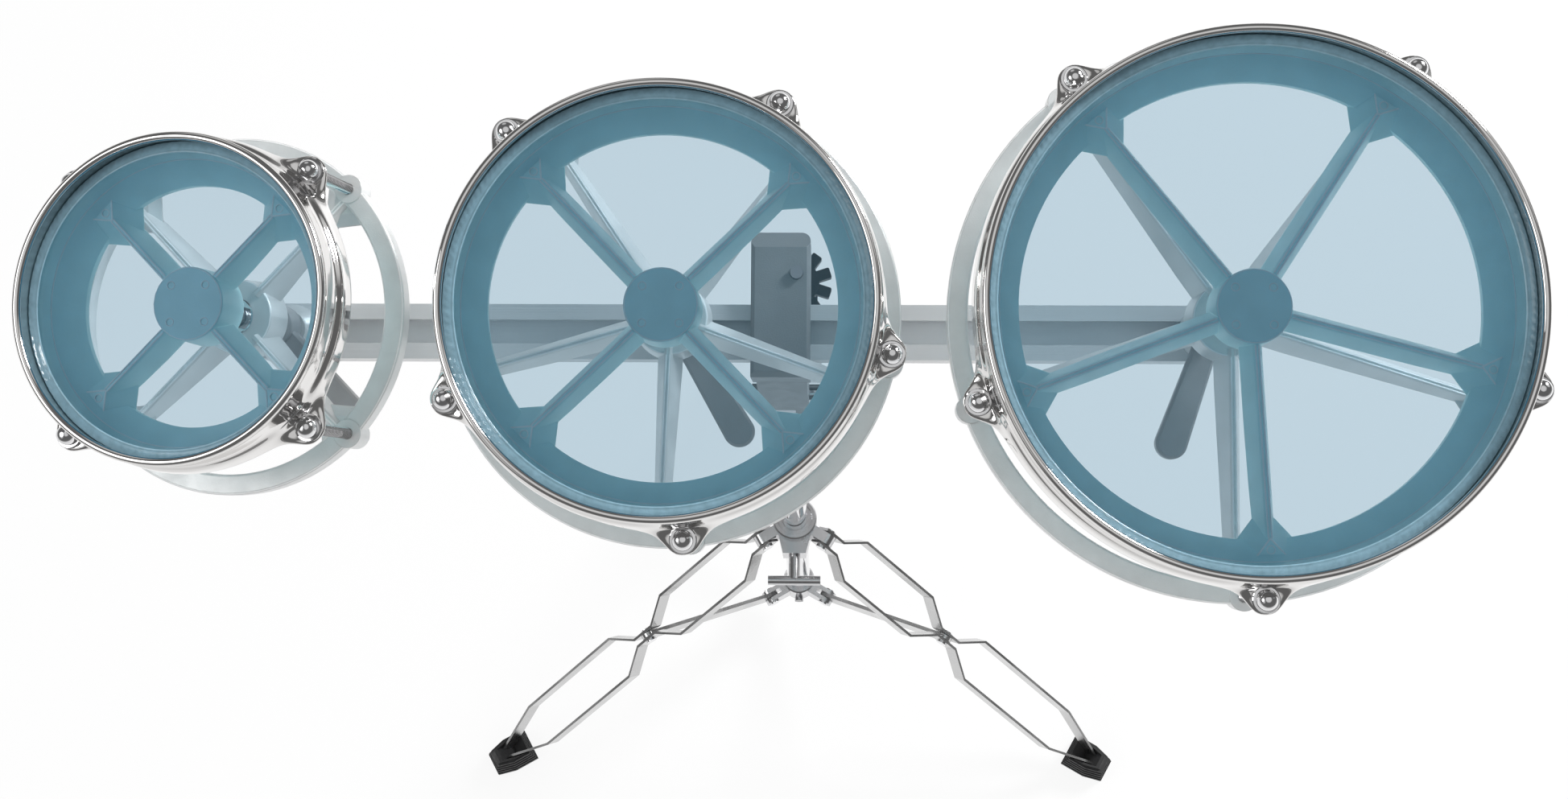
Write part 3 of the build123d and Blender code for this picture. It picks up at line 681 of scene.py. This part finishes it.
# %% [markdown]
# ## Pressed hoops
# Each hoop is one strip of steel, rolled over at the top and pressed out into an ear at every lug.
# A measured ring with flat ears looks stiff, because the real metal flows from the skirt into the
# ear. We spin one section all the way round, and each point of the section remembers how far it
# moves at a lug. Then every vertex moves by that much, times a share that fades along the rim.

# %% Section of the hoop
# Outside the nominal radius and height in a plain stretch, then the same at the middle of a lug
HOOP_SECTION = (
    (0.9, -7.2, 0.9, -7.2), (0.9, 0.0, 0.9, 0.0), (0.85, 5.6, 0.85, 5.6), (-0.2, 6.0, -0.2, 6.0),
    (-1.0, 7.2, -1.0, 7.2), (-1.0, 8.8, -1.0, 8.8), (0.1, 10.0, 0.1, 10.0), (1.9, 10.0, 1.9, 10.0),
    (3.1, 9.0, 3.1, 9.0), (3.3, 7.6, 3.3, 7.6), (2.7, 6.2, 2.7, 6.2), (2.35, 5.2, 2.35, 5.2),
    (2.3, 0.0, 2.3, 0.0), (2.3, -4.2, 2.3, -4.6), (2.9, -5.6, 2.9, -7.0), (4.1, -6.4, 4.3, -10.5),
    (5.0, -7.6, 5.0, -13.0), (5.4, -9.6, 6.6, -13.8), (5.6, -12.0, 11.5, -13.8), (5.8, -14.2, 17.2, -13.9),
    (5.9, -15.2, 18.4, -14.6), (5.4, -16.0, 18.0, -15.8), (4.4, -15.6, 11.0, -16.0), (4.0, -12.0, 4.2, -15.8),
    (3.8, -8.6, 3.9, -13.0), (3.0, -7.6, 3.0, -9.0), (1.6, -7.2, 1.6, -7.2),
)
EAR_HALF_WIDTH, EAR_FALL = 8.6, 3.4
SEAT_HALF_WIDTH, SEAT_FALL, SEAT_FLAT = 9.4, 4, 1.18
STEPS_PER_MM = 2.6


def nearest_lug(angle, lugs, first):
    step = tau / lugs
    return abs((angle - radians(first) + step / 2) % step - step / 2)


def pressed_hoop(radius, lugs, first):
    section = [(radius + out, height) for out, height, _, _ in HOOP_SECTION]
    bm = turned(section, round(STEPS_PER_MM * radius))
    moves = {(round(out, 2), round(height, 2)): (lug_out - out, lug_height - height)
             for out, height, lug_out, lug_height in HOOP_SECTION}
    for vert in bm.verts:
        reach = vert.co.xy.length
        along = radius * nearest_lug(atan2(vert.co.y, vert.co.x), lugs, first)
        out, rise = moves[(round(reach - radius, 2), round(vert.co.z, 2))]
        ear = 1 / (1 + (along / EAR_HALF_WIDTH) ** EAR_FALL)
        seat = min(1.0, SEAT_FLAT / (1 + (along / SEAT_HALF_WIDTH) ** SEAT_FALL))
        vert.co.xy *= 1 + out * ear / reach
        vert.co.z += rise * seat
    return bm


def smooth_over(piece, levels=1):
    modifier = piece.modifiers.new("smooth", "SUBSURF")
    modifier.levels = modifier.render_levels = levels


for name, (radius, lugs, first) in DRUMS.items():
    hoop = add_piece(f"{name}_pressed_hoop", pressed_hoop(radius, lugs, first), drum_place(name),
                     pressed_chrome, f"{name}_tension", f"{name}_hoop", crisp=180.0)
    smooth_over(hoop)

# %% [markdown]
# ## Crimped edge of the film
# Where the film bends over the bearing edge it is folded into its metal ring, and the folds leave
# slanting marks. The measured film has a plain collar, so a thin skin with the folds goes over it.
# A wave round the rim that shifts with depth makes the slant.

# %% Skin of the film's edge
# Outside the nominal radius, height over the head, and the share of the folds at that point
RIM_SECTION = (
    (-5.2, 0.38, 0), (-4.9, 0.60, 0), (-4.5, 0.62, 0), (-4.2, 0.45, 0), (-3.4, 0.42, 0), (-2.6, 0.36, 0.4),
    (-1.8, 0.2, 1), (-1.0, -0.05, 1), (-0.2, -0.4, 1), (0.5, -0.8, 0.5), (0.82, -1.4, 0), (0.82, -5.2, 0),
    (0.62, -5.2, 0), (0.62, -1.5, 0), (0.3, -1.0, 0.5), (-0.4, -0.6, 1), (-1.2, -0.25, 1), (-2.0, 0.0, 1),
    (-3.0, 0.2, 0),
)
FOLD_LENGTH = 4.0
FOLD_DEPTH = 0.16
FOLD_SLANT = 1.3


def crimped_rim(radius):
    folds = round(tau * radius / FOLD_LENGTH)
    bm = turned([(radius + out, height) for out, height, _ in RIM_SECTION], folds * 4)
    share = {(round(out, 2), round(height, 2)): fold for out, height, fold in RIM_SECTION}
    for vert in bm.verts:
        fold = share[(round(vert.co.xy.length - radius, 2), round(vert.co.z, 2))]
        wave = sin(folds * atan2(vert.co.y, vert.co.x) + FOLD_SLANT * vert.co.xy.length)
        vert.co.z += FOLD_DEPTH * fold * wave
    return bm


for name, (radius, _, _) in DRUMS.items():
    add_piece(f"{name}_crimped_rim", crimped_rim(radius), drum_place(name), crimped_film,
              f"{name}_turning")

# %% [markdown]
# ## Painted highlights on the edges of the castings
# The spokes are roof-shaped, and the paint is thin and shiny along their ridges and round the flat
# triangles where they meet the ring. A fine white bead along each of those edges is a painted
# highlight, standing in for the light that the real edges catch. Every bead is a narrow cone with
# two equal ends, laid from point to point.

# %% Painted highlight beads along the ridges
BEAD = 0.42
RING_BEAD = 0.3
RIDGE_HALF = 0.8
UPPER_RIDGE, LOWER_RIDGE = -12.45, -57.6
TRIANGLE_HALF = 11.0
UPPER_HUB_RING, LOWER_HUB_RING = (17.5, -11.75), (18.5, -60.3)
MARK_RADIUS, MARK_BEAD = 1.9, 0.26
# Number of spokes and angle of the first one
UPPER_SPOKES = {"small": (4, 45.0), "medium": (4, 44.0), "large": (5, 57.0)}
LOWER_SPOKES = {"small": (4, 45.0), "medium": (5, -20.0), "large": (5, 54.0)}


def bead(start, end):
    bm = bmesh.new()
    run = Vector(end) - Vector(start)
    middle = Matrix.Translation((Vector(start) + Vector(end)) / 2)
    bmesh.ops.create_cone(bm, cap_ends=True, segments=8, radius1=BEAD, radius2=BEAD, depth=run.length)
    turn = Vector((0, 0, 1)).rotation_difference(run).to_matrix().to_4x4()
    bmesh.ops.transform(bm, matrix=middle @ turn, verts=bm.verts)
    return bm


def ring_bead(radius, level, thick=RING_BEAD):
    section = [(radius + thick * cos(radians(a)), level + thick * sin(radians(a)))
               for a in range(0, 360, 60)]
    return turned(section, max(24, round(radius * 1.2)))


def beads_round(lines, count, first, rings=()):
    bm = bmesh.new()
    for radius, level in rings:
        add_to(bm, ring_bead(radius, level), Matrix())
    for k in range(count):
        for start, end in lines:
            add_to(bm, bead(start, end), Matrix.Rotation(radians(first) + tau * k / count, 4, "Z"))
    return bm


def ridge_lines(starts, ends, level):
    """The two long edges of a spoke's flat ridge."""
    return [((starts, side * RIDGE_HALF, level), (ends, side * RIDGE_HALF, level)) for side in (-1, 1)]


def upper_lines(radius):
    tip, far = radius - 17.6, radius - 4.4
    triangle = [((tip, 0, UPPER_RIDGE), (far, side * TRIANGLE_HALF, UPPER_RIDGE)) for side in (-1, 1)]
    return ridge_lines(18.6, tip, UPPER_RIDGE) + triangle


def lower_lines(radius):
    return ridge_lines(19.4, radius + 5.0, LOWER_RIDGE)


def add_marks(bm, distance, level, count, first):
    """The round prints of the mould's ejector pins, drawn as white rings of the same beads."""
    for k in range(count):
        turn = Matrix.Rotation(radians(first) + tau * k / count, 4, "Z")
        mark = ring_bead(MARK_RADIUS, level, MARK_BEAD)
        add_to(bm, mark, turn @ Matrix.Translation((distance, 0, 0)))


# White beads on the ridges and rings of both frames: painted highlights.
for name, (radius, _, _) in DRUMS.items():
    spokes = UPPER_SPOKES[name]
    upper = beads_round(upper_lines(radius), *spokes, rings=(UPPER_HUB_RING, (radius - 6.5, -8.45)))
    add_marks(upper, 12.6, -11.5, 4, 45.0)
    add_marks(upper, radius - 12.2, -12.5, *spokes)
    add_piece(f"{name}_upper_painted_highlights", upper, drum_place(name), painted_highlight_white,
              f"{name}_turning")
    lower = beads_round(lower_lines(radius), *LOWER_SPOKES[name],
                        rings=(LOWER_HUB_RING, (radius + 14.1, -57.4)))
    add_piece(f"{name}_lower_edges", lower, drum_place(name), painted_highlight_white,
              f"{name}_tension")

# %% [markdown]
# ## Tension rods
# A drum rod is a long screw with a domed head on a wide washer. Its thread is one tooth that is
# spun round the axis and moves up by the pitch in each turn, so the turns join where they meet.

# %% Helper for threads


def threaded(root, crest, pitch, low, high, steps):
    """A threaded rod along Z, cut square at both ends."""
    tooth = ((root, 0), (root, 0.2), (crest, 0.48), (crest, 0.72), (root, 1.0))
    turn = bmesh.new()
    verts = [turn.verts.new((radius, 0, height * pitch)) for radius, height in tooth]
    edges = [turn.edges.new(pair) for pair in zip(verts, verts[1:])]
    bmesh.ops.spin(turn, geom=verts + edges, cent=(0, 0, 0), axis=(0, 0, 1),
                   dvec=(0, 0, pitch / steps), angle=tau, steps=steps)
    bm = bmesh.new()
    for k in range(-2, ceil((high - low) / pitch) + 1):
        add_to(bm, turn, Matrix.Translation((0, 0, low + k * pitch)))
    turn.free()
    bmesh.ops.remove_doubles(bm, verts=bm.verts, dist=WELD)
    for level, side in ((low, -1), (high, 1)):
        bmesh.ops.bisect_plane(bm, geom=bm.verts[:] + bm.edges[:] + bm.faces[:], dist=1e-5,
                               plane_co=(0, 0, level), plane_no=(0, 0, side), clear_outer=True)
    bmesh.ops.holes_fill(bm, edges=[edge for edge in bm.edges if edge.is_boundary])
    return bm


# %% Rods with domed heads
LUG_OUT = 11.0
ROD_ROOT, ROD_CREST, ROD_PITCH = 2.35, 2.8, 1.2
ROD_FOOT, ROD_THREAD_TOP = -70.5, -24.4
HEAD_OUTLINE = ((0, -13.9), (6.4, -13.9), (6.7, -13.6), (6.7, -12.9), (6.2, -12.5), (5.0, -12.4), (5.1, -11.9),
                (5.1, -10.9), (4.8, -9.6), (4.2, -8.4), (3.2, -7.4), (1.9, -6.8), (0.8, -6.6), (0, -6.6))
SHANK_OUTLINE = ((0, -12.5), (2.8, -12.5), (2.8, -24.0), (2.35, -24.6), (0, -24.6))


def tension_rod():
    bm = turned(HEAD_OUTLINE, 28, closed=False)
    add_to(bm, turned(SHANK_OUTLINE, 20, closed=False), Matrix())
    add_to(bm, threaded(ROD_ROOT, ROD_CREST, ROD_PITCH, ROD_FOOT, ROD_THREAD_TOP, 12), Matrix())
    return bm


one_rod = tension_rod()


def tension_rods(radius, lugs, first):
    bm = bmesh.new()
    for k in range(lugs):
        turn = Matrix.Rotation(radians(first) + tau * k / lugs, 4, "Z")
        add_to(bm, one_rod, turn @ Matrix.Translation((radius + LUG_OUT, 0, 0)))
    return bm


for name, (radius, lugs, first) in DRUMS.items():
    add_piece(f"{name}_domed_rods", tension_rods(radius, lugs, first), drum_place(name), plated_steel,
              f"{name}_tension", f"{name}_tension_rods")

# %% [markdown]
# ## Threaded shafts
# Turning a drum on its shaft is what tunes it: the coarse thread pulls the lower casting down, and
# the rods pull the hoop with it. The same helper cuts this thread, only coarser.

# %% Shafts and the washers of the lower hubs
SHAFT_ROOT, SHAFT_CREST, SHAFT_PITCH = 4.9, 5.5, 2.0
SHAFT_FOOT, SHAFT_TOP = -131.0, -24.0
HUB_WASHER = ((5.8, -60.0), (9.4, -60.0), (9.4, -59.2), (8.9, -58.8), (6.3, -58.8), (5.8, -59.2))

one_shaft = threaded(SHAFT_ROOT, SHAFT_CREST, SHAFT_PITCH, SHAFT_FOOT, SHAFT_TOP, 24)
for name in DRUMS:
    add_piece(f"{name}_threaded_shaft", one_shaft.copy(), drum_place(name),
              turned_steel, f"{name}_mount", f"{name}_shaft")
    add_piece(f"{name}_hub_washer", turned(HUB_WASHER, 40), drum_place(name), plated_steel,
              f"{name}_tension")
